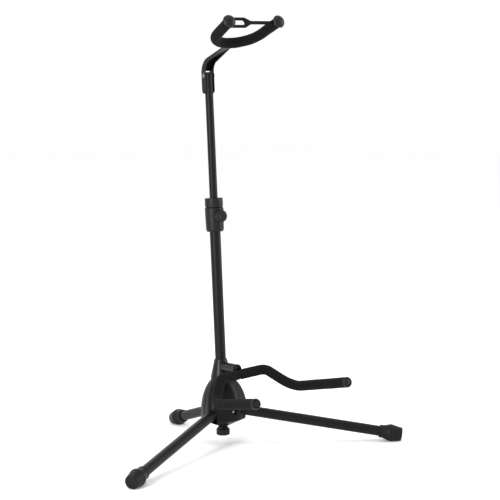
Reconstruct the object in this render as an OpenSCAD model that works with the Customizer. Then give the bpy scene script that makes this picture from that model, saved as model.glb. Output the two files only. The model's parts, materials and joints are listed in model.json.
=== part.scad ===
// Folding tripod stand for a guitar. Three tubular legs fold down from a moulded hub,
// a two-stage column leans back a little, a padded cradle carries the guitar's body
// and a padded yoke at the top holds its neck.
// Millimetres. +Z is up, the guitar stands on the -Y side, and the origin is on the
// floor at the middle of the footprint.

/* [Base] */
// Height of the point where the leg axes and the column axis meet
hub_height = 65; // [62:1:70]
// How far the column stands behind the middle of the footprint
column_y = 36.4; // [0:0.1:60]
// Outer diameter of a leg tube
leg_d = 18; // [16:0.5:18]
// Distance from the column axis to the widest part of a front foot, along the leg
front_leg_length = 299; // [250:1:340]
// Distance from the column axis to the widest part of the rear foot, along the leg
rear_leg_length = 169; // [150:1:300]
// Angle between a front leg and straight ahead, seen from above
front_leg_angle = 58; // [56:1:62]
// Largest diameter of a rubber foot
foot_d = 30; // [28:1:34]

/* [Column] */
// How far the column leans back
lean = 3; // [0:0.5:6]
// Outer diameter of the lower tube
lower_tube_d = 19; // [19:0.5:20]
// Outer diameter of the upper tube
upper_tube_d = 14; // [13:0.5:14]
// Distance from the meeting point to the top of the clamp, along the column
clamp_top = 366; // [320:1:400]
// Distance from the meeting point to the yoke's rivet, along the column
rivet_z = 580; // [560:1:640]

/* [Cradle] */
// Distance from the meeting point to the cradle boss, along the column
boss_z = 71; // [68:1:74]
// Upward tilt of the cradle boss from square to the column
boss_rise = 2; // [0:1:5]
// Turn of the cradle about its boss, as it stands
cradle_turn = 4; // [0:1:8]
// Outer diameter of the foam sleeves
foam_d = 18; // [16:0.5:18]
// Diameter of the steel rods inside the foam
rod_d = 8; // [7:0.5:8]

/* [Yoke] */
// Distance between the yoke's two tips
yoke_span = 95; // [90:1:100]
// Length of the yoke from its base to the strap's place on the tips
yoke_reach = 88; // [86:1:92]
// Upward tilt of the yoke from square to the column
yoke_rise = 19; // [15:1:22]

/* [Hidden] */
$fn = 64;
eps = 0.01;
tube_wall = 1.3;
run_gap = 0.05;
side_gap = 0.3;

// Colours
steel_black = "#1b1b1d";
gloss_black = "#15161b";
plastic_black = "#262628";
foam_black = "#1f1c1f";
rubber_black = "#29292b";
bare_steel = "#b9b9bd";

// Legs: 0 is front right, 1 is front left, 2 is rear
FRONT_RIGHT = 0;
FRONT_LEFT = 1;
REAR = 2;
leg_azimuths = [-90 + front_leg_angle, -90 - front_leg_angle, 90];
leg_lengths = [front_leg_length, front_leg_length, rear_leg_length];
leg_r = leg_d / 2;
foot_r = foot_d / 2;
foot_flat = 0.6;
pivot_x = 18;
lug_r = 8.5;
lug_half_w = 9;
pivot_screw_r = 2.5;
tube_start = 28;
slot_half_w = leg_r + side_gap;
lug_pocket_r = lug_r + 0.7;

// The tilt at which a foot, flattened a little underneath, just rests on the floor
function leg_tilt(length) =
    asin((hub_height + foot_flat) / norm([length, foot_r])) - atan(foot_r / length);

// Hub housing, in heights above the floor
hub_r = 43;
core_r = 37;
hub_widest_z = 57.5;
hub_dome_h = 66;
hub_shoulder_z = 118;
hub_edge_z = 46;
neck_r = 13;
neck_z = 32;
lobe_half_w = 14;
socket_bottom = 16;
cone_cavity_r = 11.6;
cone_z = [59, 63.5, 68.5, 71.5];
lock_screw_r = 3;
knob_z = 14.5;
knob_h = 17;
knob_r = 11.8;

// Column socket, measured along the column from the meeting point
collar_bottom = 50;
collar_top = 85;
skirt_r = 14;
skirt_bottom = 24;
boss_r = 8.5;
boss_end = 45.5;
boss_start = 16;
stub_r = 6;
head_end = 56;
cradle_screw_r = 2.5;

// Clamp, measured along the column from the meeting point
clamp_bottom = clamp_top - 59;
clamp_split = clamp_top - 14.5;
lower_tube_top = clamp_top - 21;
lower_tube_r = lower_tube_d / 2;
upper_tube_r = upper_tube_d / 2;
clamp_knob_z = clamp_top - 29;
clamp_knob_r = 11;
clamp_screw_r = 3;
bush_length = 45;
insertion = 140;
upper_tube_bottom = clamp_top - insertion;
upper_tube_top = rivet_z + 5;

// Yoke bracket, measured from the rivet: y is back, z is up the column
sheet_t = 1.6;
bracket_half_w = upper_tube_r + 0.25 + sheet_t;
bracket_back = 8.8;
bracket_bend_r = 28;
bracket_bend = 75;
bracket_bend_z = 3;
bracket_foot_z = -24;
flange_front = -5;
flange_end_y = -62;
yoke_base_y = -73.5;
rivet_r = 3;

// Cradle rod: corners of its right half, measured from the boss axis
// (x is to the side, y is back and z is up), and the bend radius at each corner
cradle_half = [[0, -56, -10], [45, -74.5, -6.5], [79, -102.5, -41.5], [89, -253, -22.5]];
cradle_bends = [40, 20, 20, 20, 40];

saddle_y = -58.8;
saddle_z = -9.5;

// Yoke rod: corners of its U in its own plane, and the bend radius of its base
yoke_base_half = 38.5;
yoke_bend_r = 42;
foam_end_v = yoke_reach - 7;
cap_v = yoke_reach - 1;
strap_v = yoke_reach - 5.8;
strap_t = 3.4;

// ---------- small helpers ----------

function unit(v) = v / norm(v);
function mirrored(p) = [-p.x, p.y, p.z];

// Puts children into the frame with the given axes and origin
module in_frame(ax, ay, az, origin) {
    multmatrix([
        [ax.x, ay.x, az.x, origin.x],
        [ax.y, ay.y, az.y, origin.y],
        [ax.z, ay.z, az.z, origin.z],
        [0, 0, 0, 1]
    ]) children();
}

// Points children's +Z axis from point a towards point b, with the origin at a
module along(a, b) {
    d = unit(b - a);
    translate(a) rotate([0, acos(d.z), atan2(d.y, d.x)]) children();
}

// Half of the length that a bend takes from each straight part next to it
function bend_setback(a, b, c, r) = r * tan(acos(unit(b - a) * unit(c - b)) / 2);

// Points on an arc
function arc(centre, r, from, to) = [
    for (k = [0 : 10]) let (a = from + (to - from) * k / 10)
        centre + r * [cos(a), sin(a)]
];

// A round bar along a path of corners, each rounded to its own bend radius. The
// straights enter the bends a little, and the bends are a hair thicker.
module bent_bar(path, bends, d) {
    entry = 0.4;
    swell = 0.03;
    last = len(path) - 1;
    setbacks = [
        for (i = [0 : last])
            (i == 0 || i == last) ? 0
                : bend_setback(path[i - 1], path[i], path[i + 1], bends[i - 1])
    ];
    for (i = [0 : last - 1]) {
        dir = unit(path[i + 1] - path[i]);
        start = path[i] + dir * (setbacks[i] - (i == 0 ? 0 : entry));
        end = path[i + 1] - dir * (setbacks[i + 1] - (i == last - 1 ? 0 : entry));
        along(start, end) cylinder(d = d, h = norm(end - start));
    }
    for (i = [1 : last - 1]) {
        dir_in = unit(path[i] - path[i - 1]);
        dir_out = unit(path[i + 1] - path[i]);
        inward = unit(dir_out - dir_in * (dir_in * dir_out));
        r = bends[i - 1];
        centre = path[i] - dir_in * setbacks[i] + inward * r;
        in_frame(-inward, dir_in, cross(-inward, dir_in), centre)
            rotate_extrude(angle = acos(dir_in * dir_out))
                translate([r, 0]) circle(d = d + 2 * swell);
    }
}

// ---------- frames of the assembly ----------

// Column foot: upright, with its origin on the floor under the meeting point
module at_column_foot() {
    translate([0, column_y, 0]) children();
}

// Column: +Z runs up the leaning column from the meeting point
module at_column() {
    at_column_foot() translate([0, 0, hub_height]) rotate([-lean, 0, 0]) children();
}

// Leg: +X runs out along the leg from the meeting point
module at_leg(i) {
    at_column_foot() rotate([0, 0, leg_azimuths[i]]) translate([0, 0, hub_height])
        rotate([0, leg_tilt(leg_lengths[i]), 0]) children();
}

// Leg, upright: +X runs out over the leg, and heights are above the floor
module at_leg_upright(i) {
    at_column_foot() rotate([0, 0, leg_azimuths[i]]) children();
}

// Boss: -Y runs out along the cradle boss from the column axis
module at_boss() {
    at_column() translate([0, 0, boss_z]) rotate([-boss_rise, 0, 0]) children();
}

// Cradle: the boss frame, turned as the cradle stands
module at_cradle() {
    at_boss() rotate([0, -cradle_turn, 0]) children();
}

// Clamp screw: +Z runs out to the front from the column axis
module at_clamp_screw() {
    at_column() translate([0, 0, clamp_knob_z]) rotate([90, 0, 0]) children();
}

// Rivet: the column's directions, with the origin on the rivet's axis
module at_rivet() {
    at_column() translate([0, 0, rivet_z]) children();
}

// Height of the bracket's top face over a point y of its straight tongue
function tongue_top(y) =
    bracket_bend_z + bracket_bend_r * sin(bracket_bend)
    + (bracket_back - bracket_bend_r + bracket_bend_r * cos(bracket_bend) - y)
        * tan(90 - bracket_bend);

// Yoke plane: -Y runs forward from the middle of the yoke's base
module at_yoke() {
    base_z = tongue_top(yoke_base_y) + rod_d / 2 / sin(bracket_bend);
    at_rivet() translate([0, yoke_base_y, base_z]) rotate([-yoke_rise, 0, 0]) children();
}

// ---------- hub ----------

// Radius of the hub's dome at a height
function dome_r(r, z) =
    r * sqrt(max(0, 1 - pow((z - hub_widest_z) / hub_dome_h, 2)));

// Side outline of the hub, from its axis out to radius r
module hub_outline(r) {
    steps = 12;
    rise = hub_shoulder_z - hub_widest_z;
    polygon(concat(
        [[0, neck_z], [neck_r, neck_z], [r, hub_edge_z]],
        [for (k = [0 : steps])
            let (z = hub_widest_z + rise * sin(90 * k / steps)) [dome_r(r, z), z]],
        [[0, hub_shoulder_z]]
    ));
}

// One of the three lobes, which houses a leg's hinge
module hub_lobe() {
    intersection() {
        rotate_extrude() hub_outline(hub_r);
        translate([0, -lobe_half_w, neck_z + 3])
            cube([2 * hub_r, 2 * lobe_half_w, hub_shoulder_z - neck_z - 6]);
    }
}

// The space that a leg needs, at work and on its way down: an arch over the leg,
// a pocket round its hinge and a slot that is open below
module leg_slot(i) {
    tilt = leg_tilt(leg_lengths[i]);
    pivot_r = pivot_x * cos(tilt);
    pivot_z = hub_height - pivot_x * sin(tilt);
    wall_r = pivot_r - lug_pocket_r - 0.4;
    reach = 2 * hub_r;
    at_leg(i) {
        translate([pivot_x, 0, 0]) rotate([0, 90, 0])
            cylinder(r = slot_half_w + 0.4, h = reach);
        translate([pivot_x, 0, 0]) rotate([90, 0, 0])
            cylinder(r = lug_pocket_r, h = 2 * slot_half_w + 0.4, center = true);
    }
    at_leg_upright(i) translate([0, slot_half_w, 0]) rotate([90, 0, 0])
        linear_extrude(2 * slot_half_w) polygon([
            [wall_r, 0],
            [reach, 0],
            [reach, pivot_z - (reach - pivot_r) * tan(tilt)],
            [pivot_r, pivot_z],
            [wall_r, pivot_z]
        ]);
}

module hub_housing() {
    color(plastic_black) difference() {
        union() {
            at_column_foot() rotate_extrude() hub_outline(core_r);
            for (i = [FRONT_RIGHT, FRONT_LEFT, REAR]) at_leg_upright(i) hub_lobe();
        }
        for (i = [FRONT_RIGHT, FRONT_LEFT, REAR]) {
            leg_slot(i);
            at_leg(i) pivot_screw();
        }
        at_column() {
            translate([0, 0, socket_bottom]) cylinder(r = lower_tube_r, h = hub_dome_h);
            translate([0, 0, skirt_bottom]) cylinder(r = skirt_r, h = hub_dome_h);
            translate([0, 0, collar_bottom]) cylinder(r = hub_r, h = hub_dome_h);
        }
        at_column_foot() {
            cylinder(r = lock_screw_r + side_gap, h = hub_height);
            translate([0, 0, cone_z[0] - 1.5])
                cylinder(r = cone_cavity_r, h = cone_z[3] - cone_z[0] + 5);
        }
    }
}

// A shouldered screw across the hub, on which a leg swings
module pivot_screw() {
    head_r = 4.2;
    head_y = 11.5;
    translate([pivot_x, 0, 0]) rotate([-90, 0, 0]) {
        translate([0, 0, -12]) cylinder(r = pivot_screw_r, h = 12 + head_y);
        translate([0, 0, head_y]) cylinder(r = head_r, h = hub_r);
    }
}

module leg_pivot_screws() {
    head_r = 3.9;
    head_y = 11.5;
    color(bare_steel) for (i = [FRONT_RIGHT, FRONT_LEFT, REAR])
        at_leg(i) translate([pivot_x, 0, 0]) rotate([-90, 0, 0]) difference() {
            union() {
                translate([0, 0, -12]) cylinder(r = pivot_screw_r, h = 12 + head_y);
                translate([0, 0, head_y]) cylinder(r = head_r, h = 2.2);
            }
            translate([0, 0, head_y + 1]) cylinder(r = 2, h = 2, $fn = 6);
        }
}

// ---------- column socket, with the cradle's boss ----------

module column_socket() {
    color(gloss_black) difference() {
        union() {
            at_column() {
                translate([0, 0, collar_bottom]) rotate_extrude() polygon([
                    [0, 0], [19.2, 0], [18.4, 5], [17, 11], [15.2, 18], [13.2, 26],
                    [11.8, 32], [11.2, 34.2], [10.4, collar_top - collar_bottom],
                    [0, collar_top - collar_bottom]
                ]);
                translate([0, 0, skirt_bottom])
                    cylinder(r = skirt_r, h = collar_bottom - skirt_bottom);
            }
            at_boss() rotate([90, 0, 0]) cylinder(r = boss_r, h = boss_end);
        }
        at_column() cylinder(r = lower_tube_r, h = 2 * collar_top);
        at_boss() rotate([90, 0, 0]) {
            translate([0, 0, boss_start]) cylinder(r = stub_r + run_gap, h = boss_end);
            cylinder(r = cradle_screw_r, h = boss_end);
        }
    }
}

// Screw that holds the cradle's stub in the boss
module cradle_screw() {
    color(bare_steel) at_boss() rotate([90, 0, 0]) difference() {
        union() {
            translate([0, 0, lower_tube_r + 0.6])
                cylinder(r = cradle_screw_r, h = 51 - lower_tube_r);
            translate([0, 0, 51]) cylinder(r = 4.4, h = 2.4);
        }
        translate([0, 0, 52]) cylinder(r = 1.8, h = 3, $fn = 6);
    }
}

// ---------- leg lock ----------

module lock_knob() {
    ribs = 18;
    color(plastic_black) at_column_foot() difference() {
        union() {
            translate([0, 0, knob_z]) cylinder(r = knob_r - 0.8, h = 11.5);
            translate([0, 0, knob_z + 0.6]) for (k = [0 : ribs - 1])
                rotate(k * 360 / ribs) translate([knob_r - 1.1, 0, 0])
                    cylinder(r = 1.1, h = 10.2);
            translate([0, 0, knob_z + 11.5])
                cylinder(r1 = 9.6, r2 = 7.4, h = knob_h - 11.5);
        }
        translate([0, 0, knob_z + 3]) cylinder(r = lock_screw_r, h = knob_h);
    }
}

module lock_screw() {
    color(bare_steel) at_column_foot() translate([0, 0, knob_z + 3])
        cylinder(r = lock_screw_r, h = cone_z[3] - knob_z - 3);
}

// Cone on the lock screw, which it draws down between the three leg lugs
module lock_cone() {
    color(bare_steel) at_column_foot() rotate_extrude() polygon([
        [lock_screw_r, cone_z[0]], [5, cone_z[0]], [8.3, cone_z[1]],
        [10.8, cone_z[2]], [10.8, cone_z[3]], [lock_screw_r, cone_z[3]]
    ]);
}

// ---------- legs ----------

// Plug in a leg's inner end, with the eye that its pivot screw goes through
module leg_lug(i) {
    plug_end = 55;
    color(plastic_black) at_leg(i) difference() {
        union() {
            translate([pivot_x, lug_half_w, 0]) rotate([90, 0, 0])
                cylinder(r = lug_r, h = 2 * lug_half_w);
            translate([pivot_x, 0, 0]) rotate([0, 90, 0])
                cylinder(r = leg_r, h = tube_start - pivot_x);
            translate([tube_start, 0, 0]) rotate([0, 90, 0])
                cylinder(r = leg_r - tube_wall, h = plug_end - tube_start);
        }
        translate([pivot_x, 2 * lug_half_w, 0]) rotate([90, 0, 0])
            cylinder(r = pivot_screw_r + run_gap, h = 4 * lug_half_w);
    }
}

module leg_tube(i) {
    foot_bottom = 6;
    color(steel_black) at_leg(i) translate([tube_start, 0, 0]) rotate([0, 90, 0])
        difference() {
            cylinder(r = leg_r, h = leg_lengths[i] + foot_bottom - tube_start);
            translate([0, 0, -1])
                cylinder(r = leg_r - tube_wall, h = leg_lengths[i] + foot_d);
        }
}

// Rubber boot on a leg's end, with a small flat where it meets the floor
module leg_foot(i) {
    foot_bottom = 6;
    color(rubber_black) difference() {
        at_leg(i) translate([leg_lengths[i], 0, 0]) rotate([0, 90, 0]) difference() {
            rotate_extrude() polygon([
                [0, -19], [10.6, -19], [11.4, -18.4], [11.6, -17], [11.2, -15.6],
                [11.4, -13], [12.4, -8], [14.2, -3], [foot_r - 0.2, -1.4], [foot_r, 0],
                [foot_r, 1.6], [14.6, 3.4], [12.6, 17], [11.9, 19.6], [10.6, 21], [0, 21]
            ]);
            translate([0, 0, -20]) cylinder(r = leg_r, h = 20 + foot_bottom);
        }
        translate([-500, -500, -50]) cube([1000, 1000, 50]);
    }
}

// ---------- lower tube and clamp ----------

module lower_tube() {
    color(steel_black) difference() {
        at_column() translate([0, 0, socket_bottom]) difference() {
            cylinder(r = lower_tube_r, h = lower_tube_top - socket_bottom);
            translate([0, 0, -1]) cylinder(r = lower_tube_r - tube_wall, h = clamp_top);
        }
        at_clamp_screw() cylinder(r = clamp_screw_r + side_gap, h = 2 * lower_tube_r);
    }
}

module clamp_body() {
    boss_out = 18.5;
    color(plastic_black) difference() {
        union() {
            at_column() translate([0, 0, clamp_bottom]) {
                cylinder(r1 = 14.4, r2 = 15.2, h = 3);
                translate([0, 0, 3])
                    cylinder(r1 = 15.4, r2 = 16.5, h = clamp_split - clamp_bottom - 3);
            }
            at_clamp_screw() cylinder(r = 8.2, h = boss_out);
        }
        at_column() {
            translate([0, 0, clamp_bottom - 1])
                cylinder(r = lower_tube_r, h = lower_tube_top - clamp_bottom + 4);
            cylinder(r = upper_tube_r + 1, h = clamp_top);
        }
        at_clamp_screw() {
            cylinder(r = clamp_screw_r + side_gap, h = 2 * boss_out);
            translate([0, 0, 11.5]) cylinder(r = 5, h = 4.5);
        }
    }
}

// Cap that closes the top of the clamp
module clamp_cap() {
    groove_h = 1;
    color(plastic_black) at_column() translate([0, 0, clamp_split]) difference() {
        union() {
            cylinder(r = 14.2, h = groove_h);
            translate([0, 0, groove_h]) cylinder(r = 15.5, h = 12.3);
            translate([0, 0, groove_h + 12.3]) cylinder(r1 = 15.5, r2 = 14.3, h = 1.2);
        }
        translate([0, 0, -1]) cylinder(r = upper_tube_r + 0.4, h = 20);
    }
}

// Bush that the upper tube slides in, with a flange on the lower tube's end
module clamp_bush() {
    color("#3a3a3c") difference() {
        at_column() translate([0, 0, lower_tube_top]) difference() {
            union() {
                translate([0, 0, -bush_length])
                    cylinder(r = lower_tube_r - tube_wall, h = bush_length);
                cylinder(r = lower_tube_r, h = 2.8);
            }
            translate([0, 0, -bush_length - 1])
                cylinder(r = upper_tube_r + run_gap, h = bush_length + 10);
        }
        at_clamp_screw() cylinder(r = clamp_screw_r + side_gap, h = 2 * lower_tube_r);
    }
}

module clamp_nut() {
    color("#b39a4e") at_clamp_screw() translate([0, 0, 11.5]) difference() {
        cylinder(r = 5, h = 4.5);
        translate([0, 0, -1]) cylinder(r = clamp_screw_r + run_gap, h = 8);
    }
}

module clamp_screw() {
    color(bare_steel) at_clamp_screw() translate([0, 0, upper_tube_r + 0.4])
        cylinder(r = clamp_screw_r, h = 16);
}

module clamp_knob() {
    ribs = 16;
    knob_start = 19;
    color(plastic_black) at_clamp_screw() difference() {
        translate([0, 0, knob_start]) union() {
            cylinder(r = clamp_knob_r - 0.8, h = 7);
            for (k = [0 : ribs - 1]) rotate(k * 360 / ribs)
                translate([clamp_knob_r - 1.1, 0, 0.4]) cylinder(r = 1.1, h = 6.2);
            translate([0, 0, 7]) cylinder(r1 = clamp_knob_r - 1.4, r2 = 8, h = 1.2);
        }
        cylinder(r = clamp_screw_r, h = upper_tube_r + 16.4);
    }
}

// ---------- upper tube ----------

module upper_tube() {
    color(steel_black) at_column() difference() {
        translate([0, 0, upper_tube_bottom])
            cylinder(r = upper_tube_r, h = upper_tube_top - upper_tube_bottom);
        cylinder(r = upper_tube_r - tube_wall, h = upper_tube_top + 10);
        translate([-10, 0, rivet_z]) rotate([0, 90, 0])
            cylinder(r = rivet_r + run_gap, h = 20);
    }
}

// Guide on the upper tube's lower end, which keeps it central in the lower tube
module tube_guide() {
    guide_h = 10;
    color("#3a3a3c") at_column() translate([0, 0, upper_tube_bottom]) {
        translate([0, 0, -guide_h])
            cylinder(r = lower_tube_r - tube_wall - 0.08, h = guide_h);
        cylinder(r = upper_tube_r - tube_wall, h = 20);
    }
}

module tube_plug() {
    plug_h = 16;
    color(plastic_black) at_column() difference() {
        union() {
            translate([0, 0, upper_tube_top - plug_h])
                cylinder(r = upper_tube_r - tube_wall, h = plug_h);
            translate([0, 0, upper_tube_top]) cylinder(r1 = 6.6, r2 = 5, h = 1);
        }
        translate([-10, 0, rivet_z]) rotate([0, 90, 0])
            cylinder(r = rivet_r + run_gap, h = 20);
    }
}

// ---------- cradle ----------

cradle_path = concat(
    [for (k = [3 : -1 : 1]) mirrored(cradle_half[k])],
    cradle_half
);

// Stub that turns in the boss, with a head and a saddle for the cradle rod
module cradle_pivot() {
    color(gloss_black) at_cradle() difference() {
        union() {
            rotate([90, 0, 0]) {
                translate([0, 0, boss_start + 0.5])
                    cylinder(r = stub_r, h = boss_end - boss_start);
                translate([0, 0, boss_end + side_gap])
                    cylinder(r = boss_r, h = head_end - boss_end - side_gap);
            }
            translate([-4.3, saddle_y, saddle_z]) rotate([0, 90, 0])
                cylinder(r = 6.4, h = 8.6);
            translate([-4.3, -head_end, saddle_z]) cube([8.6, 9, -saddle_z]);
        }
        rotate([90, 0, 0]) {
            translate([0, 0, boss_start]) cylinder(r = cradle_screw_r + run_gap, h = 50);
            translate([0, 0, 50.8]) cylinder(r = 5.4, h = 20);
        }
        bent_bar(cradle_path, cradle_bends, rod_d);
    }
}

module cradle_rod() {
    color(steel_black) at_cradle() bent_bar(cradle_path, cradle_bends, rod_d);
}

// Foam sleeve on one arm: side is 1 for the right arm and -1 for the left
module cradle_foam(side) {
    inner_x = 4.8;
    color(foam_black) at_cradle() difference() {
        bent_bar(cradle_path, cradle_bends, foam_d);
        bent_bar(cradle_path, cradle_bends, rod_d);
        translate([side > 0 ? inner_x - 300 : -inner_x, -300, -100]) cube([300, 300, 200]);
        rotate([90, 0, 0]) cylinder(r = boss_r + 0.2, h = head_end + 0.2);
    }
}

// Cap on a cradle arm's tip
module cradle_cap(side) {
    tip = side > 0 ? cradle_half[3] : mirrored(cradle_half[3]);
    before = side > 0 ? cradle_half[2] : mirrored(cradle_half[2]);
    color(rubber_black) at_cradle() along(tip, tip + (tip - before))
        rotate_extrude() polygon([
            [0, 0], [9, 0], [9.3, 1.2], [9, 3], [7.6, 4.6], [6.2, 4.9], [6, 4.2], [0, 4.2]
        ]);
}

// ---------- yoke ----------

// Points on the bracket's bend, at a radius from its centre that changes by a taper
function bend_points(r, taper) = [
    for (a = [0 : 5 : bracket_bend])
        [bracket_back - bracket_bend_r + (r + taper * a / bracket_bend) * cos(a),
         bracket_bend_z + (r + taper * a / bracket_bend) * sin(a)]
];

// Side outline of the bracket's web and tongue, a sheet of even thickness
module web_outline() {
    end_y = yoke_base_y - 3;
    inner = bend_points(bracket_bend_r - sheet_t, 0);
    polygon(concat(
        [[bracket_back, bracket_foot_z]],
        bend_points(bracket_bend_r, 0),
        [[end_y, tongue_top(end_y)],
         [end_y, tongue_top(end_y) - sheet_t / sin(bracket_bend)]],
        [for (k = [len(inner) - 1 : -1 : 0]) inner[k]],
        [[bracket_back - sheet_t, bracket_foot_z]]
    ));
}

// Side outline of a flange, deep beside the tube and tapering out along the tongue
module flange_outline() {
    end_r = (bracket_back - flange_front) / 2;
    inner_r = bracket_bend_r - (bracket_back - flange_front);
    inner = bend_points(inner_r, 6);
    union() {
        polygon(concat(
            [[bracket_back, bracket_foot_z]],
            bend_points(bracket_bend_r, 0),
            [[flange_end_y, tongue_top(flange_end_y)],
             [flange_end_y, tongue_top(flange_end_y) - sheet_t]],
            [for (k = [len(inner) - 1 : -1 : 0]) inner[k]],
            [[flange_front, bracket_foot_z]]
        ));
        translate([flange_front + end_r, bracket_foot_z]) circle(r = end_r);
    }
}

module yoke_bracket() {
    color(steel_black) at_rivet() difference() {
        union() {
            rotate([90, 0, 90]) linear_extrude(2 * bracket_half_w, center = true)
                web_outline();
            for (side = [-1, 1])
                translate([side * (bracket_half_w - sheet_t / 2), 0, 0]) rotate([90, 0, 90])
                    linear_extrude(sheet_t, center = true) flange_outline();
        }
        translate([-upper_tube_r - 0.25, 5, -7]) cube([2 * upper_tube_r + 0.5, 10, 15.5]);
        translate([-20, 0, 0]) rotate([0, 90, 0]) cylinder(r = rivet_r, h = 40);
    }
}

module yoke_rivet() {
    color(bare_steel) at_rivet() rotate([0, 90, 0]) {
        translate([0, 0, -bracket_half_w]) cylinder(r = rivet_r, h = 2 * bracket_half_w);
        for (side = [-1, 1]) translate([0, 0, side * (bracket_half_w + 0.6)])
            cylinder(r = 4.4, h = 1.2, center = true);
    }
}

// Point on the yoke's right arm at a distance v forward of its base
function yoke_arm(v) =
    [yoke_base_half + (yoke_span / 2 - yoke_base_half) * v / yoke_reach, -v, 0];

// Path of the yoke's U, with both arms ending at a distance v forward of its base
function yoke_path(v) = [
    mirrored(yoke_arm(v)), [-yoke_base_half, 0, 0], [yoke_base_half, 0, 0], yoke_arm(v)
];

module yoke_rod() {
    color(steel_black) at_yoke()
        bent_bar(yoke_path(yoke_reach + 3), [yoke_bend_r, yoke_bend_r], rod_d);
}

module yoke_foam() {
    color(foam_black) difference() {
        at_yoke() difference() {
            bent_bar(yoke_path(foam_end_v), [yoke_bend_r, yoke_bend_r], foam_d);
            bent_bar(yoke_path(yoke_reach), [yoke_bend_r, yoke_bend_r], rod_d);
        }
        at_rivet() rotate([90, 0, 90])
            linear_extrude(2 * bracket_half_w + 0.6, center = true) tongue_notch();
    }
}

// Side outline of the notch that the bracket's tongue enters the foam by
module tongue_notch() {
    front_y = yoke_base_y - 3.3;
    back_y = yoke_base_y + foam_d;
    polygon([
        [front_y, tongue_top(front_y)], [front_y, tongue_top(front_y) - foam_d],
        [back_y, tongue_top(back_y) - foam_d], [back_y, tongue_top(back_y) + 0.2]
    ]);
}

// Mushroom-shaped cap on a yoke tip: side is 1 for the right tip and -1 for the left
module yoke_cap(side) {
    start = yoke_arm(cap_v);
    ahead = yoke_arm(yoke_reach + 10);
    from = side > 0 ? start : mirrored(start);
    to = side > 0 ? ahead : mirrored(ahead);
    color(rubber_black) at_yoke() along(from, to) difference() {
        rotate_extrude() polygon([
            [0, 0], [9.6, 0], [10.8, 0.8], [11, 2], [10.6, 3.4], [9.4, 5],
            [7.4, 6.4], [4.6, 7.5], [0, 8]
        ]);
        translate([0, 0, -1]) cylinder(r = rod_d / 2, h = 5.45);
    }
}

// Flat rubber strap between the yoke's tips, with a long loop for the left tip
module yoke_strap() {
    tip_x = yoke_arm(strap_v + strap_t / 2).x;
    hole_r = rod_d / 2 + 0.4;
    loop_r = hole_r + 4.4;
    ring_r = hole_r + 3.8;
    loop_end = -16;
    band_half = 2.5;
    blend = asin(band_half / ring_r);
    color(rubber_black) at_yoke() translate([0, -strap_v, 0]) rotate([90, 0, 0])
        linear_extrude(strap_t) difference() {
            polygon(concat(
                arc([-tip_x, 0], loop_r, 90, 270),
                [[loop_end, -loop_r], [loop_end + 10, -band_half]],
                arc([tip_x, 0], ring_r, blend - 180, 180 - blend),
                [[loop_end + 10, band_half], [loop_end, loop_r]]
            ));
            polygon(concat(
                arc([-tip_x, 0], hole_r, 90, 270),
                arc([loop_end - 4, 0], hole_r, -90, 90)
            ));
            translate([tip_x, 0]) circle(r = hole_r);
        }
}

// ---------- the assembly ----------

hub_housing();
column_socket();
lower_tube();
leg_pivot_screws();
cradle_screw();
clamp_body();
clamp_cap();
clamp_bush();
clamp_nut();
clamp_screw();
clamp_knob();
lock_knob();
lock_screw();
lock_cone();
leg_lug(FRONT_RIGHT);  // leg_lug_front_right
leg_tube(FRONT_RIGHT);  // leg_tube_front_right
leg_foot(FRONT_RIGHT);  // leg_foot_front_right
leg_lug(FRONT_LEFT);  // leg_lug_front_left
leg_tube(FRONT_LEFT);  // leg_tube_front_left
leg_foot(FRONT_LEFT);  // leg_foot_front_left
leg_lug(REAR);  // leg_lug_rear
leg_tube(REAR);  // leg_tube_rear
leg_foot(REAR);  // leg_foot_rear
upper_tube();
tube_guide();
tube_plug();
cradle_pivot();
cradle_rod();
cradle_foam(1);  // cradle_foam_right
cradle_foam(-1);  // cradle_foam_left
cradle_cap(1);  // cradle_cap_right
cradle_cap(-1);  // cradle_cap_left
yoke_bracket();
yoke_rivet();
yoke_rod();
yoke_foam();
yoke_cap(1);  // yoke_cap_right
yoke_cap(-1);  // yoke_cap_left
yoke_strap();
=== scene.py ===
import json
import math

import bmesh
import bpy
from mathutils import Matrix, Vector, noise


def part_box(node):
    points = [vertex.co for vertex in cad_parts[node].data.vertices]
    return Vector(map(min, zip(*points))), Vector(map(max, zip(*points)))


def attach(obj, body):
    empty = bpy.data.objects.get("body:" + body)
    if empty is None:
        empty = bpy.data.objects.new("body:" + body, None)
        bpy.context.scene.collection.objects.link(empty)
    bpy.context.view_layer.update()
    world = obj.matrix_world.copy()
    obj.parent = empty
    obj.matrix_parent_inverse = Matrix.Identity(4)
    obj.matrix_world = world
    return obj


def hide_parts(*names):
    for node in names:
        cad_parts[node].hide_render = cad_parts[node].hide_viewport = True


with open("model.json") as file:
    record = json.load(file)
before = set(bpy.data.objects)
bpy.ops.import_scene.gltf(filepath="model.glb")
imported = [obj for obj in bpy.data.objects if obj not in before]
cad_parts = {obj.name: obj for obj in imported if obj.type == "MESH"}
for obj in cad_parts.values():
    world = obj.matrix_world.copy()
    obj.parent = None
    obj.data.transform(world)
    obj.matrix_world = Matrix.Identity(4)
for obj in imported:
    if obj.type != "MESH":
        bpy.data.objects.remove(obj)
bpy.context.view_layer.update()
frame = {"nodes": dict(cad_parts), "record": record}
MM = 0.001


# ---------- frames taken from the record's joints ----------

JOINTS = {j["name"]: j for j in frame["record"]["behaviour"]["joints"]}


def joint_pos(name):
    return Vector(JOINTS[name]["pos_m"])


def joint_axis(name):
    return Vector(JOINTS[name]["axis"]).normalized()


def frame_matrix(origin, x, y, z):
    """A matrix whose columns are the given axes, placed at origin."""
    m = Matrix.Identity(4)
    for i, axis in enumerate((x, y, z, origin)):
        for k in range(3):
            m[k][i] = axis[k]
    return m


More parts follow.
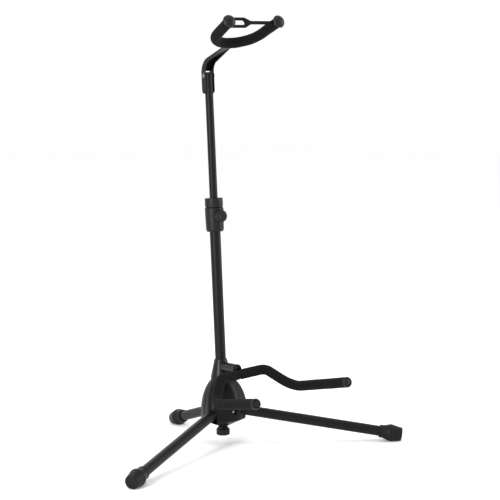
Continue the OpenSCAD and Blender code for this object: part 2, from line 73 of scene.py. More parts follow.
UP = Vector((0, 0, 1))
RIGHT = Vector((1, 0, 0))
column_dir = joint_axis("mast_slide")
column_back = column_dir.cross(RIGHT)
hub_centre = (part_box("lock_screw")[0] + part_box("lock_screw")[1]) / 2
foot_of_column = Vector((0, hub_centre.y, 0))
HUB_HEIGHT = 65 * MM
LEG_LENGTHS = {"front_right": 299 * MM, "front_left": 299 * MM, "rear": 169 * MM}
LEG_AZIMUTHS = {"front_right": -32, "front_left": -148, "rear": 90}
LEG_PIVOT_X = 18 * MM
FOOT_R = 15 * MM
FOOT_FLAT = 0.6 * MM
meeting = foot_of_column + UP * HUB_HEIGHT


def leg_frame(name):
    """Leg axes: X out along the leg, Y along its pivot, Z up from the leg. The origin is
    the column's foot end of the leg's line."""
    length = LEG_LENGTHS[name]
    y = joint_axis("leg_fold_" + name)
    pivot = joint_pos("leg_fold_" + name)
    tilt = (math.asin((HUB_HEIGHT + FOOT_FLAT) / math.hypot(length, FOOT_R))
            - math.atan(FOOT_R / length))
    out = y.cross(UP)
    x = out * math.cos(tilt) - UP * math.sin(tilt)
    return frame_matrix(pivot - x * LEG_PIVOT_X, x, y, x.cross(y))


# ---------- mesh helpers ----------

def make_object(name, verts, faces, sharp_deg=38):
    """A smooth-shaded mesh object, with edges sharper than sharp_deg kept sharp."""
    mesh = bpy.data.meshes.new(name)
    mesh.from_pydata([tuple(v) for v in verts], [], faces)
    mesh.validate()
    bm = bmesh.new()
    bm.from_mesh(mesh)
    bmesh.ops.recalc_face_normals(bm, faces=bm.faces)
    limit = math.radians(sharp_deg)
    for e in bm.edges:
        if len(e.link_faces) == 2:
            e.smooth = e.calc_face_angle(0) < limit
    for f in bm.faces:
        f.smooth = True
    bm.to_mesh(mesh)
    bm.free()
    obj = bpy.data.objects.new(name, mesh)
    bpy.context.scene.collection.objects.link(obj)
    return obj


def grid_faces(rings, count, closed_ends=False, loop=False):
    """Faces between consecutive rings of count vertices each."""
    faces = []
    for i in range(rings if loop else rings - 1):
        for k in range(count):
            n = (k + 1) % count
            j = (i + 1) % rings
            faces.append((i * count + k, i * count + n, j * count + n, j * count + k))
    if closed_ends:
        faces.append(tuple(range(count - 1, -1, -1)))
        faces.append(tuple((rings - 1) * count + k for k in range(count)))
    return faces


def smooth_profile(points, fillet, steps=4):
    """Rounds the corners of an open profile of (axial, radius) points."""
    out = [points[0]]
    for a, b, c in zip(points, points[1:], points[2:]):
        va, vb, vc = (Vector(p) for p in (a, b, c))
        reach = min(fillet, (vb - va).length * 0.45, (vc - vb).length * 0.45)
        if reach < 1e-7:
            out.append(b)
            continue
        p = vb + (va - vb).normalized() * reach
        q = vb + (vc - vb).normalized() * reach
        for k in range(steps + 1):
            t = k / steps
            w = p * (1 - t) ** 2 + vb * 2 * t * (1 - t) + q * t ** 2
            out.append((w.x, w.y))
    out.append(points[-1])
    return out


def lathe(name, profile, matrix, segments=96, ripple=None, bored=False):
    """A body of revolution about the matrix's X axis from (axial, radius) points.
    ripple(axial, angle) adds to the radius. A bored body's last point joins its first,
    which leaves it open through the middle; any other body is closed at its ends."""
    verts = []
    for a, r in profile:
        for k in range(segments):
            t = 2 * math.pi * k / segments
            rr = r + (ripple(a, t) if ripple and r > 1e-6 else 0)
            verts.append(matrix @ Vector((a, rr * math.cos(t), rr * math.sin(t))))
    return make_object(name, verts, grid_faces(len(profile), segments, closed_ends=not bored,
                                               loop=bored))


def x_along(origin, direction, side=UP):
    """A matrix at origin whose X axis runs along direction."""
    x = Vector(direction).normalized()
    y = side.cross(x)
    y = y.normalized() if y.length > 1e-6 else RIGHT
    return frame_matrix(Vector(origin), x, y, x.cross(y))


def rounded_path(corners, radii, spacing=1.5 * MM):
    """Points along a path whose inner corners are rounded to the given radii."""
    pieces = [corners[0]]
    for i in range(1, len(corners) - 1):
        a, b, c = corners[i - 1], corners[i], corners[i + 1]
        d1, d2 = (b - a).normalized(), (c - b).normalized()
        turn = d1.angle(d2)
        if turn < 1e-4:
            continue
        set_back = radii[i - 1] * math.tan(turn / 2)
        n = (d2 - d1 * d1.dot(d2)).normalized()
        centre = b - d1 * set_back + n * radii[i - 1]
        steps = max(6, int(turn * radii[i - 1] / spacing))
        for k in range(steps + 1):
            t = turn * k / steps
            pieces.append(centre + (d1 * math.sin(t) - n * math.cos(t)) * radii[i - 1])
    pieces.append(corners[-1])
    out = [pieces[0]]
    for a, b in zip(pieces, pieces[1:]):
        count = max(1, int((b - a).length / spacing))
        out += [a.lerp(b, (k + 1) / count) for k in range(count)]
    return out


def sweep(name, points, radius, segments=40, cap_round=0.0):
    """A round bar along points. radius(along, angle, bend) gives its surface, where bend is
    the path's curvature towards that side. cap_round rounds the ends over that length."""
    along = [0.0]
    for a, b in zip(points, points[1:]):
        along.append(along[-1] + (b - a).length)
    total = along[-1]
    tangent = [(points[min(i + 1, len(points) - 1)] - points[max(i - 1, 0)]).normalized()
               for i in range(len(points))]
    normal = tangent[0].orthogonal().normalized()
    verts = []
    for i, p in enumerate(points):
        normal = (normal - tangent[i] * normal.dot(tangent[i])).normalized()
        binormal = tangent[i].cross(normal)
        prev_t, next_t = tangent[max(i - 2, 0)], tangent[min(i + 2, len(points) - 1)]
        curve = (next_t - prev_t) / max(1e-9, along[min(i + 2, len(points) - 1)]
                                        - along[max(i - 2, 0)])
        end = min(along[i], total - along[i])
        shrink = 0.0
        if cap_round and end < cap_round:
            shrink = cap_round - math.sqrt(max(0.0, cap_round ** 2 - (cap_round - end) ** 2))
        for k in range(segments):
            t = 2 * math.pi * k / segments
            d = normal * math.cos(t) + binormal * math.sin(t)
            verts.append(p + d * (radius(along[i], t, d.dot(curve)) - shrink))
    return make_object(name, verts, grid_faces(len(points), segments, True))


def extrude_outline(name, loops, thickness, matrix, edge=0.0, steps=3):
    """A plate with rounded edges from closed 2-D loops (outer first, then holes),
    centred on the matrix's XY plane."""
    bm = bmesh.new()
    layers = []
    for k in range(2 * steps + 2):
        if k <= steps:
            a = math.pi / 2 * k / steps
            z = -thickness / 2 + edge * (1 - math.sin(a))
            inset = edge * (1 - math.cos(math.pi / 2 - a))
        else:
            a = math.pi / 2 * (k - steps - 1) / steps
            z = thickness / 2 - edge * (1 - math.sin(a))
            inset = edge * (1 - math.cos(a))
        layers.append((z, inset))
    layers.sort()
    rings = []
    for z, inset in layers:
        level = []
        for index, loop in enumerate(loops):
            shape = offset_loop(loop, inset if index == 0 else -inset)
            level.append([bm.verts.new(matrix @ Vector((x, y, z))) for x, y in shape])
        rings.append(level)
    for low, high in zip(rings, rings[1:]):
        for lo, hi in zip(low, high):
            for k in range(len(lo)):
                n = (k + 1) % len(lo)
                bm.faces.new((lo[k], lo[n], hi[n], hi[k]))
    for level in (rings[0], rings[-1]):
        edges = []
        for ring in level:
            for k in range(len(ring)):
                edges.append(bm.edges.get((ring[k], ring[(k + 1) % len(ring)])))
        bmesh.ops.triangle_fill(bm, use_beauty=True, edges=edges)
    bmesh.ops.recalc_face_normals(bm, faces=bm.faces)
    for f in bm.faces:
        f.smooth = True
    for e in bm.edges:
        if len(e.link_faces) == 2:
            e.smooth = e.calc_face_angle(0) < math.radians(40)
    mesh = bpy.data.meshes.new(name)
    bm.to_mesh(mesh)
    bm.free()
    obj = bpy.data.objects.new(name, mesh)
    bpy.context.scene.collection.objects.link(obj)
    return obj


def offset_loop(loop, inset):
    """A closed loop moved inwards by inset, keeping its point count."""
    area = sum(a[0] * b[1] - b[0] * a[1] for a, b in zip(loop, loop[1:] + loop[:1])) / 2
    turn = 1 if area > 0 else -1
    out = []
    for i, p in enumerate(loop):
        a, b = Vector(loop[i - 1]), Vector(loop[(i + 1) % len(loop)])
        d = (b - a).normalized()
        out.append((p[0] - d.y * inset * turn, p[1] + d.x * inset * turn))
    return out


def arc(cx, cy, r, start, end, steps=16):
    """Points on an arc, with angles in degrees."""
    return [(cx + r * math.cos(math.radians(start + (end - start) * k / steps)),
             cy + r * math.sin(math.radians(start + (end - start) * k / steps)))
            for k in range(steps + 1)]


# ---------- materials ----------

def material(name, color, rough, grain, bump, metallic=0.0, specular=0.5, mottle=0.18,
             rough_var=0.06):
    """A procedural surface: fine grain in the bump, and soft changes of tone and gloss.
    grain is the size of the grain's features and bump their depth, in metres."""
    mat = bpy.data.materials.new(name)
    mat.use_nodes = True
    nodes, links = mat.node_tree.nodes, mat.node_tree.links
    bsdf = nodes["Principled BSDF"]
    bsdf.inputs["Metallic"].default_value = metallic
    bsdf.inputs["Specular IOR Level"].default_value = specular
    coords = nodes.new("ShaderNodeTexCoord")
    cloud = nodes.new("ShaderNodeTexNoise")
    cloud.inputs["Scale"].default_value = 45.0
    cloud.inputs["Detail"].default_value = 4.0
    links.new(coords.outputs["Object"], cloud.inputs["Vector"])
    tone = nodes.new("ShaderNodeMapRange")
    tone.inputs["To Min"].default_value = 1 - mottle
    tone.inputs["To Max"].default_value = 1 + mottle
    links.new(cloud.outputs["Fac"], tone.inputs["Value"])
    mix = nodes.new("ShaderNodeMix")
    mix.data_type = "RGBA"
    mix.blend_type = "MULTIPLY"
    mix.inputs["Factor"].default_value = 1.0
    mix.inputs["A"].default_value = (*color, 1)
    links.new(tone.outputs["Result"], mix.inputs["B"])
    links.new(mix.outputs["Result"], bsdf.inputs["Base Color"])
    gloss = nodes.new("ShaderNodeMapRange")
    gloss.inputs["To Min"].default_value = max(0.02, rough - rough_var)
    gloss.inputs["To Max"].default_value = rough + rough_var
    links.new(cloud.outputs["Fac"], gloss.inputs["Value"])
    links.new(gloss.outputs["Result"], bsdf.inputs["Roughness"])
    fine = nodes.new("ShaderNodeTexNoise")
    fine.inputs["Scale"].default_value = 1 / grain
    fine.inputs["Detail"].default_value = 5.0
    links.new(coords.outputs["Object"], fine.inputs["Vector"])
    relief = nodes.new("ShaderNodeBump")
    relief.inputs["Strength"].default_value = 0.5
    relief.inputs["Distance"].default_value = bump
    links.new(fine.outputs["Fac"], relief.inputs["Height"])
    links.new(relief.outputs["Normal"], bsdf.inputs["Normal"])
    return mat


def foam_material():
    """Closed-cell foam: dull, with small pores and a faint warm tint."""
    mat = material("foam", (0.0052, 0.0036, 0.0044), 0.8, specular=0.09, grain=0.9 * MM,
                   bump=0.12 * MM, rough_var=0.08)
    nodes, links = mat.node_tree.nodes, mat.node_tree.links
    coords = nodes["Texture Coordinate"]
    pores = nodes.new("ShaderNodeTexVoronoi")
    pores.inputs["Scale"].default_value = 1 / (1.1 * MM)
    links.new(coords.outputs["Object"], pores.inputs["Vector"])
    relief = nodes.new("ShaderNodeBump")
    relief.inputs["Strength"].default_value = 0.55
    relief.inputs["Distance"].default_value = 0.18 * MM
    links.new(pores.outputs["Distance"], relief.inputs["Height"])
    links.new(nodes["Bump"].outputs["Normal"], relief.inputs["Normal"])
    links.new(relief.outputs["Normal"], nodes["Principled BSDF"].inputs["Normal"])
    return mat


paint = material("satin_paint", (0.0034, 0.003, 0.0031), 0.4, specular=0.17,
                 grain=1.6 * MM, bump=0.02 * MM)
socket_gloss = material("gloss_plastic", (0.0032, 0.003, 0.0062), 0.3, specular=0.25,
                        grain=6 * MM, bump=0.03 * MM, rough_var=0.04)
hub_plastic = material("hub_plastic", (0.003, 0.0022, 0.003), 0.34, specular=0.13,
                       grain=0.7 * MM, bump=0.03 * MM)
clamp_plastic = material("clamp_plastic", (0.006, 0.0052, 0.0068), 0.4, specular=0.2,
                         grain=0.6 * MM, bump=0.03 * MM)
knob_plastic = material("knob_plastic", (0.006, 0.005, 0.0065), 0.42, specular=0.22,
                        grain=0.6 * MM, bump=0.03 * MM)
nylon = material("nylon", (0.02, 0.02, 0.021), 0.5, grain=1 * MM, bump=0.02 * MM)
foot_rubber = material("foot_rubber", (0.0055, 0.0045, 0.0052), 0.46, specular=0.16,
                       grain=1.0 * MM, bump=0.08 * MM)
cap_rubber = material("cap_rubber", (0.0062, 0.0052, 0.006), 0.36, specular=0.22,
                      grain=1.2 * MM, bump=0.03 * MM)
strap_rubber = material("strap_rubber", (0.005, 0.0042, 0.005), 0.62, specular=0.1,
                        grain=0.8 * MM, bump=0.03 * MM)
plated = material("plated_steel", (0.42, 0.42, 0.44), 0.26, metallic=1.0, grain=0.8 * MM,
                  bump=0.01 * MM)
black_steel = material("black_steel", (0.05, 0.05, 0.054), 0.3, metallic=1.0, grain=0.8 * MM,
                       bump=0.01 * MM)
rivet_steel = material("rivet_steel", (0.2, 0.2, 0.21), 0.38, metallic=1.0, grain=0.8 * MM,
                       bump=0.01 * MM)
plug_plastic = material("plug_plastic", (0.004, 0.004, 0.004), 0.8, specular=0.04,
                        grain=1 * MM, bump=0.02 * MM)
brass = material("brass", (0.55, 0.42, 0.18), 0.3, metallic=1.0, grain=0.8 * MM,
                 bump=0.01 * MM)
foam = foam_material()

SLOT_MATERIALS = {
    "hub_plastic": hub_plastic, "socket_gloss": socket_gloss, "tube_paint": paint,
    "rod_paint": paint, "plated_steel": plated, "brass": brass,
    "clamp_plastic": clamp_plastic, "knob_plastic": knob_plastic, "inner_nylon": nylon,
    "foot_rubber": foot_rubber, "cap_rubber": cap_rubber, "strap_rubber": strap_rubber,
    "sleeve_foam": foam,
}


def dress(obj, mat):
    obj.data.materials.clear()
    obj.data.materials.append(mat)


for part in frame["record"]["subparts"]:
    dress(frame["nodes"][part["node"]], SLOT_MATERIALS[part["material_slot"]])
dress(frame["nodes"]["tube_plug"], plug_plastic)
dress(frame["nodes"]["yoke_rivet"], rivet_steel)
dress(frame["nodes"]["cradle_screw"], black_steel)


def add_piece(obj, body, node, slot):
    """Finishes a visual piece: its material, its body and the CAD node it stands for, if it
    stands for one by itself."""
    dress(obj, SLOT_MATERIALS[slot])
    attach(obj, body)
    if node:
        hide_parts(node)


# ---------- feet ----------

FOOT_PROFILE = [
    (-19, 9.1), (-19, 10.5), (-18.2, 11.5), (-16.6, 11.6), (-15.4, 11.1), (-12.5, 11.5),
    (-8, 12.5), (-3, 14.2), (-1.2, 14.9), (1.6, 15), (3.4, 14.6), (12.6, 12.9),
    (19.2, 12.0), (20.6, 11.2), (21, 10.2), (20.4, 9.4), (20.4, 0),
]
FOOT_FILLET = 1.2 * MM
FLOOR_GAP = 0.2 * MM


def make_foot(name):
    profile = smooth_profile([(LEG_LENGTHS[name] + a * MM, r * MM) for a, r in FOOT_PROFILE],
                             FOOT_FILLET)
    obj = lathe("foot_" + name, profile, leg_frame(name))
    for v in obj.data.vertices:
        v.co.z = max(v.co.z, FLOOR_GAP)
    add_piece(obj, "leg_" + name, "leg_foot_" + name, "foot_rubber")


for leg in LEG_LENGTHS:
    make_foot(leg)


# ---------- cradle ----------

boss_out = joint_axis("cradle_swivel")
boss_z = RIGHT.cross(-boss_out)
turn = math.radians(4)
cradle_x = RIGHT * math.cos(turn) + boss_z * math.sin(turn)
cradle = frame_matrix(joint_pos("cradle_swivel"), cradle_x, -boss_out,
                      boss_z * math.cos(turn) - RIGHT * math.sin(turn))
CRADLE_CORNERS = [(0, -56, -10), (45, -74.5, -6.5), (79, -102.5, -41.5), (89, -253, -22.5)]
CRADLE_BENDS = [20 * MM, 40 * MM]
CRADLE_APEX = (0, -57.7, -9.7)
HEAD_R = 8.9 * MM
HEAD_END = 56.4 * MM
SLEEVE_R = 8.8 * MM
SLEEVE_START = 0.4 * MM
SLEEVE_END_ROUND = 1.4 * MM


def foam_surface(seed, crease):
    """Radius of a foam sleeve: a little lumpy, with faint creases inside its bends."""
    def radius(along, angle, bend):
        p = Vector((math.cos(angle) * 0.6, math.sin(angle) * 0.6, along / (24 * MM)))
        lump = noise.noise(p * 1.3 + Vector((seed, 0, 0))) * 0.28 * MM
        inside = max(0.0, bend * 20 * MM)
        ripple = math.sin(along / (2.1 * MM) + 2.4 * noise.noise(p * 2))
        return SLEEVE_R + lump + inside * crease * ripple
    return radius


CRADLE_CAP = [(-1, 0), (-1, 7.6), (0, 8.6), (1.2, 9.1), (2.8, 8.8), (4.3, 8), (4.8, 7.2),
              (4.3, 6.4), (3, 6), (3, 5.5), (4.2, 4.9), (4.9, 3.4), (5.1, 1.6), (5.2, 0)]


def make_cradle_arm(side, name):
    """One foam sleeve of the cradle and its end cap."""
    corners = [Vector((side * x, y, z)) * MM for x, y, z in CRADLE_CORNERS]
    path = rounded_path([Vector(CRADLE_APEX) * MM] + corners[1:], CRADLE_BENDS)
    points = [cradle @ p for p in path if abs(p.x) > SLEEVE_START]
    obj = sweep("cradle_sleeve_" + name, points, foam_surface(3.1 * side, 0.22 * MM),
                segments=48, cap_round=SLEEVE_END_ROUND)
    into = cradle.inverted()
    for v in obj.data.vertices:
        p = into @ v.co
        reach = math.hypot(p.x, p.z)
        if p.y > -HEAD_END and reach < HEAD_R:
            grow = HEAD_R / max(reach, 1e-6)
            v.co = cradle @ Vector((p.x * grow, p.y, p.z * grow))
    add_piece(obj, "cradle", "cradle_foam_" + name, "sleeve_foam")
    tip, before = cradle @ corners[3], cradle @ corners[2]
    profile = smooth_profile([(a * MM, r * MM) for a, r in CRADLE_CAP], 0.6 * MM)
    cap = lathe("cradle_end_" + name, profile, x_along(tip, tip - before))
    add_piece(cap, "cradle", "cradle_cap_" + name, "cap_rubber")


make_cradle_arm(1, "right")
make_cradle_arm(-1, "left")


# ---------- yoke ----------

YOKE_OUT = 73.5 * MM
YOKE_UP = 50.68 * MM
rise = math.radians(19)
yoke_y = column_back * math.cos(rise) - column_dir * math.sin(rise)
yoke_z = column_back * math.sin(rise) + column_dir * math.cos(rise)
yoke_base = joint_pos("yoke_fold") - column_back * YOKE_OUT + column_dir * YOKE_UP
yoke = frame_matrix(yoke_base, RIGHT, yoke_y, yoke_z)
BASE_HALF = 38.5
TIP_HALF = 47.5
REACH = 88
FOAM_END = 81
YOKE_BEND = 42 * MM
STRAP_V = 83.9
STRAP_T = 3.4 * MM


def arm_point(side, v):
    """A point of the yoke's arm, v millimetres out from its base."""
    return Vector((side * (BASE_HALF + (TIP_HALF - BASE_HALF) * v / REACH), -v, 0)) * MM


foam_path = rounded_path([arm_point(-1, FOAM_END), arm_point(-1, 0), arm_point(1, 0),
                          arm_point(1, FOAM_END)], [YOKE_BEND, YOKE_BEND])
yoke_sleeve = sweep("yoke_sleeve", [yoke @ p for p in foam_path],
                    foam_surface(11.0, 0.16 * MM), segments=48,
                    cap_round=SLEEVE_END_ROUND)
add_piece(yoke_sleeve, "yoke", "yoke_foam", "sleeve_foam")

MUSHROOM = [(0, 0), (0, 9.4), (0.5, 10.5), (1.4, 11), (2.6, 10.9), (3.8, 10.3), (5.2, 9.1),
            (6.5, 7.2), (7.4, 4.8), (7.9, 2.2), (8, 0)]
for side, name in ((1, "right"), (-1, "left")):
    start = yoke @ arm_point(side, REACH - 1)
    ahead = yoke @ arm_point(side, REACH + 10)
    profile = smooth_profile([(a * MM, r * MM) for a, r in MUSHROOM], 0.7 * MM)
    cap = lathe("yoke_tip_" + name, profile, x_along(start, ahead - start))
    add_piece(cap, "yoke", "yoke_cap_" + name, "cap_rubber")


def make_strap():
    """The strap: a long loop over the left tip, a thin band, and a ring on the right tip."""
    tip_x = arm_point(1, STRAP_V).x / MM
    hole, loop_r, ring_r = 4.35, 8.7, 8.2
    blend = math.degrees(math.asin(2.5 / ring_r))
    outer = (arc(-tip_x, 0, loop_r, 90, 270) + arc(-16.5, -loop_r + 6, 6, -88, -58, 4)
             + arc(-2, -8.5, 6, 118, 92, 4)
             + arc(tip_x, 0, ring_r, blend - 180, 180 - blend, 28)
             + arc(-2, 8.5, 6, -92, -118, 4) + arc(-16.5, loop_r - 6, 6, 58, 88, 4))
    slot_hole = arc(-tip_x, 0, hole, 90, 270) + arc(-20, 0, hole, -90, 90)
    ring_hole = arc(tip_x, 0, hole, 0, 345, 23)
    scaled = [[(x * MM, y * MM) for x, y in loop] for loop in (outer, slot_hole, ring_hole)]
    centre = yoke @ Vector((0, -STRAP_V * MM, 0))
    m = frame_matrix(centre, RIGHT, yoke_z, -yoke_y)
    obj = extrude_outline("yoke_strap_piece", scaled, STRAP_T, m, edge=0.8 * MM)
    add_piece(obj, "yoke", "yoke_strap", "strap_rubber")


make_strap()


# ---------- hub ----------

HUB_R = 43
HUB_WIDEST_Z = 57.5
HUB_SHOULDER_Z = 118
HUB_DOME_H = 66
LOBE_HALF_W = 14
CORE_SHARE = 0.9
BLEND_POWER = 16


def lobe_reach(r_out, angle):
    """Radius of a round-ended lobe of overall reach r_out, at an angle from its middle."""
    half = min(LOBE_HALF_W, 0.9 * r_out)
    centre = r_out - half
    angle = abs(angle)
    if angle < math.atan2(half, centre):
        return centre * math.cos(angle) + math.sqrt(half ** 2 - (centre * math.sin(angle)) ** 2)
    return half / math.sin(angle)


def hub_radius(r_out, angle):
    """Plan radius of the hub, its round core and three lobes blended with a fillet."""
    total = (CORE_SHARE * r_out) ** BLEND_POWER
    for azimuth in LEG_AZIMUTHS.values():
        off = (angle - math.radians(azimuth) + math.pi) % (2 * math.pi) - math.pi
        if abs(off) < math.pi / 2:
            total += lobe_reach(r_out, off) ** BLEND_POWER
    return total ** (1 / BLEND_POWER)


def hub_levels():
    """Heights and reaches of the hub, from its neck up over its dome."""
    dome = []
    for k in range(17):
        z = HUB_WIDEST_Z + (HUB_SHOULDER_Z - HUB_WIDEST_Z) * k / 16
        dome.append((z, HUB_R * math.sqrt(1 - ((z - HUB_WIDEST_Z) / HUB_DOME_H) ** 2)))
    low = [(32, 11.5), (32.6, 13), (45.2, 42), (47.5, HUB_R)]
    return smooth_profile(low + dome, 1.6)


def cut_away(obj, cutter):
    """Subtracts a closed mesh from obj."""
    modifier = obj.modifiers.new("cut", "BOOLEAN")
    modifier.operation = "DIFFERENCE"
    modifier.solver = "EXACT"
    modifier.object = cutter
    depsgraph = bpy.context.evaluated_depsgraph_get()
    mesh = bpy.data.meshes.new_from_object(obj.evaluated_get(depsgraph))
    obj.modifiers.clear()
    obj.data = mesh
    bpy.data.objects.remove(cutter)


def prism(name, outline, start, end, matrix):
    """A closed prism of a 2-D outline in the matrix's YZ plane, from start to end along X."""
    verts = [matrix @ Vector((x, y, z)) for x in (start, end) for y, z in outline]
    return make_object(name, verts, grid_faces(2, len(outline), True), sharp_deg=20)


def along_column():
    """X up along the column, for pieces measured from where the legs' lines meet it."""
    return x_along(meeting, column_dir, RIGHT)


ARCH_R = 9.5
SLOT_HALF_W = 9.48 * MM
SLOT_LOW = 20 * MM
SLOT_HIGH = 52.5 * MM
RECESS_R = 5
COLUMN_BORE_R = 9.6
CUT_END = 90 * MM
HUB_SEGMENTS = 240


def make_hub():
    """The hub's shell, with a slot and an arch for each leg, a recess over each pivot screw
    and a bore for the column."""
    verts = []
    levels = hub_levels()
    for z, r_out in levels:
        for k in range(HUB_SEGMENTS):
            t = 2 * math.pi * k / HUB_SEGMENTS
            r = hub_radius(r_out, t) * MM
            verts.append(foot_of_column + Vector((r * math.cos(t), r * math.sin(t), z * MM)))
    hub = make_object("hub_shell", verts, grid_faces(len(levels), HUB_SEGMENTS, True))
    for name, azimuth in LEG_AZIMUTHS.items():
        arch = [(y * MM, z * MM) for y, z in
                [(-ARCH_R, -5)] + arc(0, 0, ARCH_R, 180, 0, 24)[1:-1] + [(ARCH_R, -5)]]
        cut_away(hub, prism("arch", arch, 9 * MM, CUT_END, leg_frame(name)))
        a = math.radians(azimuth)
        out = Vector((math.cos(a), math.sin(a), 0))
        upright = frame_matrix(foot_of_column, out, UP.cross(out), UP)
        slot = [(-SLOT_HALF_W, SLOT_LOW), (SLOT_HALF_W, SLOT_LOW), (SLOT_HALF_W, SLOT_HIGH),
                (-SLOT_HALF_W, SLOT_HIGH)]
        cut_away(hub, prism("slot", slot, 8 * MM, CUT_END, upright))
        pin = frame_matrix(joint_pos("leg_fold_" + name), joint_axis("leg_fold_" + name),
                           UP, joint_axis("leg_fold_" + name).cross(UP))
        bore = [(r * MM, z * MM) for r, z in arc(0, 0, RECESS_R, 0, 345, 23)]
        cut_away(hub, prism("recess", bore, 11.4 * MM, 60 * MM, pin))
    socket = [(r * MM, z * MM) for r, z in arc(0, 0, COLUMN_BORE_R, 0, 354, 59)]
    cut_away(hub, prism("socket", socket, 16 * MM, 70 * MM, along_column()))
    mesh = hub.data
    bm = bmesh.new()
    bm.from_mesh(mesh)
    bmesh.ops.remove_doubles(bm, verts=bm.verts, dist=1e-6)
    for e in bm.edges:
        if len(e.link_faces) == 2:
            e.smooth = e.calc_face_angle(0) < math.radians(32)
    for f in bm.faces:
        f.smooth = True
    bm.to_mesh(mesh)
    bm.free()
    add_piece(hub, "base", "hub_housing", "hub_plastic")


def recess_depth(name):
    """How far along a leg's pivot the hub's surface lies from the pivot, in millimetres."""
    pos, axis = joint_pos("leg_fold_" + name), joint_axis("leg_fold_" + name)
    reach = 12.0
    while reach < 40:
        p = pos + axis * reach * MM - foot_of_column
        if math.hypot(p.x, p.y) > hub_radius(HUB_R, math.atan2(p.y, p.x)) * MM:
            break
        reach += 0.25
    return reach


make_hub()


# ---------- column socket and clamp ----------

def turned(name, profile, matrix, fillet, body, node, slot, segments=96, ripple=None,
           bored=False):
    """A turned visual piece from (axial, radius) points in millimetres."""
    points = smooth_profile([(a * MM, r * MM) for a, r in profile], fillet * MM)
    add_piece(lathe(name, points, matrix, segments, ripple, bored), body, node, slot)


COLLAR = [(49.6, 9.6), (49.6, 18.6), (50.6, 19.4), (55, 18.5), (61, 17.1), (68, 15.3),
          (76, 13.3), (82, 11.9), (84.6, 11.2), (85.4, 10.4), (85.2, 9.6)]
turned("collar", COLLAR, along_column(), 1.6, "base", "column_socket", "socket_gloss",
       bored=True)
boss = x_along(joint_pos("cradle_swivel"), boss_out)
turned("boss", [(9.7, 0), (9.7, 10), (15, 9.3), (22, 8.8), (44.4, 8.6), (45.4, 7.9), (45.4, 0)],
       boss, 2.5, "base", None, "socket_gloss")

SCREW_HEAD = [(-5, 0), (-5, 3.4), (-0.7, 3.4), (0, 2.8), (0, 1.9), (-1.6, 1.6), (-1.6, 0)]
HEAD_SET_BACK = 3.5
for leg in LEG_AZIMUTHS:
    seat = recess_depth(leg) - HEAD_SET_BACK
    pin = x_along(joint_pos("leg_fold_" + leg), joint_axis("leg_fold_" + leg))
    turned("pivot_head_" + leg, [(seat + a, r) for a, r in SCREW_HEAD], pin, 0.4, "base", None,
           "plated_steel", 48)

CLAMP_TOP = 366
CLAMP_BASE = CLAMP_TOP - 59
CLAMP_SPLIT = CLAMP_TOP - 14.5
CLAMP_SCREW_Z = CLAMP_TOP - 29
BODY = [(2.6, 9.6), (2.6, 14), (3.6, 14.7), (5.6, 15.2), (6.4, 15.6), (43.2, 16.4), (44.4, 15.6),
        (44.4, 7.6), (38.6, 7.6), (38.6, 9.6)]
turned("clamp_shell", [(CLAMP_BASE + a, r) for a, r in BODY], along_column(), 0.9, "base",
       "clamp_body", "clamp_plastic", bored=True)
CAP = [(-0.1, 7.6), (-0.1, 14.6), (1, 14.6), (1.2, 15.7), (15.2, 15.8), (16.6, 14.9),
       (16.7, 8.2), (16, 7.6)]
turned("clamp_top", [(CLAMP_SPLIT + a, r) for a, r in CAP], along_column(), 0.9, "base",
       "clamp_cap", "clamp_plastic", bored=True)
screw_axis = x_along(meeting + column_dir * CLAMP_SCREW_Z * MM, -column_back)
turned("clamp_boss", [(10.2, 0), (10.2, 9.4), (16, 8.5), (17.6, 8.2), (18.4, 7.4), (18.4, 0)],
       screw_axis, 1.6, "base", None, "clamp_plastic")


def knurl(count, depth, start, end):
    """Rounded ribs round a knob between two axial positions, in millimetres."""
    def ripple(axial, angle):
        a = axial / MM
        if a < start or a > end:
            return 0.0
        return depth * MM * (abs(math.cos(angle * count / 2)) - 1)
    return ripple


turned("thumb_knob", [(19, 0), (19, 9.2), (19.6, 10.6), (20.4, 11), (25, 11), (26, 10.2),
                      (27, 8.6), (27.2, 6), (26.6, 3), (26.5, 0)],
       screw_axis, 0.5, "clamp_knob", "clamp_knob", "knob_plastic", 192,
       knurl(16, 0.9, 19.9, 25.8))
knob_axis = x_along(foot_of_column, UP, RIGHT)
turned("leg_lock_knob", [(14.5, 0), (14.7, 8), (14.5, 10.4), (15.2, 11.6), (16.2, 11.9),
                         (24.6, 11.9), (25.7, 11.2), (26.4, 9.8), (31.3, 7.6), (31.5, 7),
                         (31.5, 0)],
       knob_axis, 0.6, "lock_knob", "lock_knob", "knob_plastic", 216,
       knurl(18, 0.9, 15.6, 25.2))


# ---------- floor, light and camera ----------

MIDDLE = Vector((0, 0, 0.38))
FLOOR_CORNERS = [(-6, -6), (6, -6), (6, 9), (-6, 9)]
FLOOR_Z = -0.4 * MM


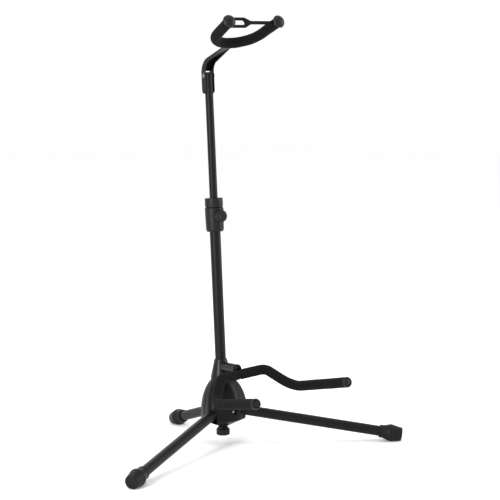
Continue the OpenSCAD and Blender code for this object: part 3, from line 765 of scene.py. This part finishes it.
def make_floor():
    floor = make_object("floor", [(x, y, FLOOR_Z) for x, y in FLOOR_CORNERS], [(0, 1, 2, 3)])
    dress(floor, material("floor", (0.96, 0.96, 0.955), 0.8, specular=0.1, grain=3 * MM,
                          bump=0.02 * MM, mottle=0.01, rough_var=0.05))


def area_light(name, place, size, power):
    """A soft white light aimed at the middle of the stand."""
    data = bpy.data.lights.new(name, "AREA")
    data.shape = "RECTANGLE"
    data.size, data.size_y = size
    data.energy = power
    obj = bpy.data.objects.new(name, data)
    obj.location = place
    obj.rotation_euler = (MIDDLE - Vector(place)).to_track_quat("-Z", "Y").to_euler()
    bpy.context.scene.collection.objects.link(obj)


make_floor()
area_light("key", (-1.95, -0.75, 0.95), (0.32, 1.7), 38)
area_light("side", (1.75, -1.0, 0.9), (0.3, 1.6), 18)
area_light("back", (0.6, 2.0, 1.7), (1.6, 1.2), 8)
area_light("top", (-0.3, -0.4, 2.6), (1.5, 1.5), 8)

world = bpy.data.worlds.new("studio")
world.use_nodes = True
world.node_tree.nodes["Background"].inputs["Color"].default_value = (1, 1, 1, 1)
world.node_tree.nodes["Background"].inputs["Strength"].default_value = 1.03
bpy.context.scene.world = world


def make_camera():
    azimuth, elevation, roll = (math.radians(a) for a in (-31.5, 7.2, -0.8))
    back = Vector((math.sin(azimuth) * math.cos(elevation),
                   -math.cos(azimuth) * math.cos(elevation), math.sin(elevation)))
    level = Vector((math.cos(azimuth), math.sin(azimuth), 0))
    lift = back.cross(level)
    x = level * math.cos(roll) + lift * math.sin(roll)
    y = lift * math.cos(roll) - level * math.sin(roll)
    data = bpy.data.cameras.new("photo_camera")
    data.sensor_width = 36.0
    data.lens = 104.0
    data.clip_end = 60.0
    obj = bpy.data.objects.new("photo_camera", data)
    place = foot_of_column + Vector((-1258.7, -2153.5, 657.3)) * MM
    obj.matrix_world = frame_matrix(place, x, y, back)
    bpy.context.scene.collection.objects.link(obj)
    bpy.context.scene.camera = obj


make_camera()
bpy.context.scene.view_settings.view_transform = "Standard"
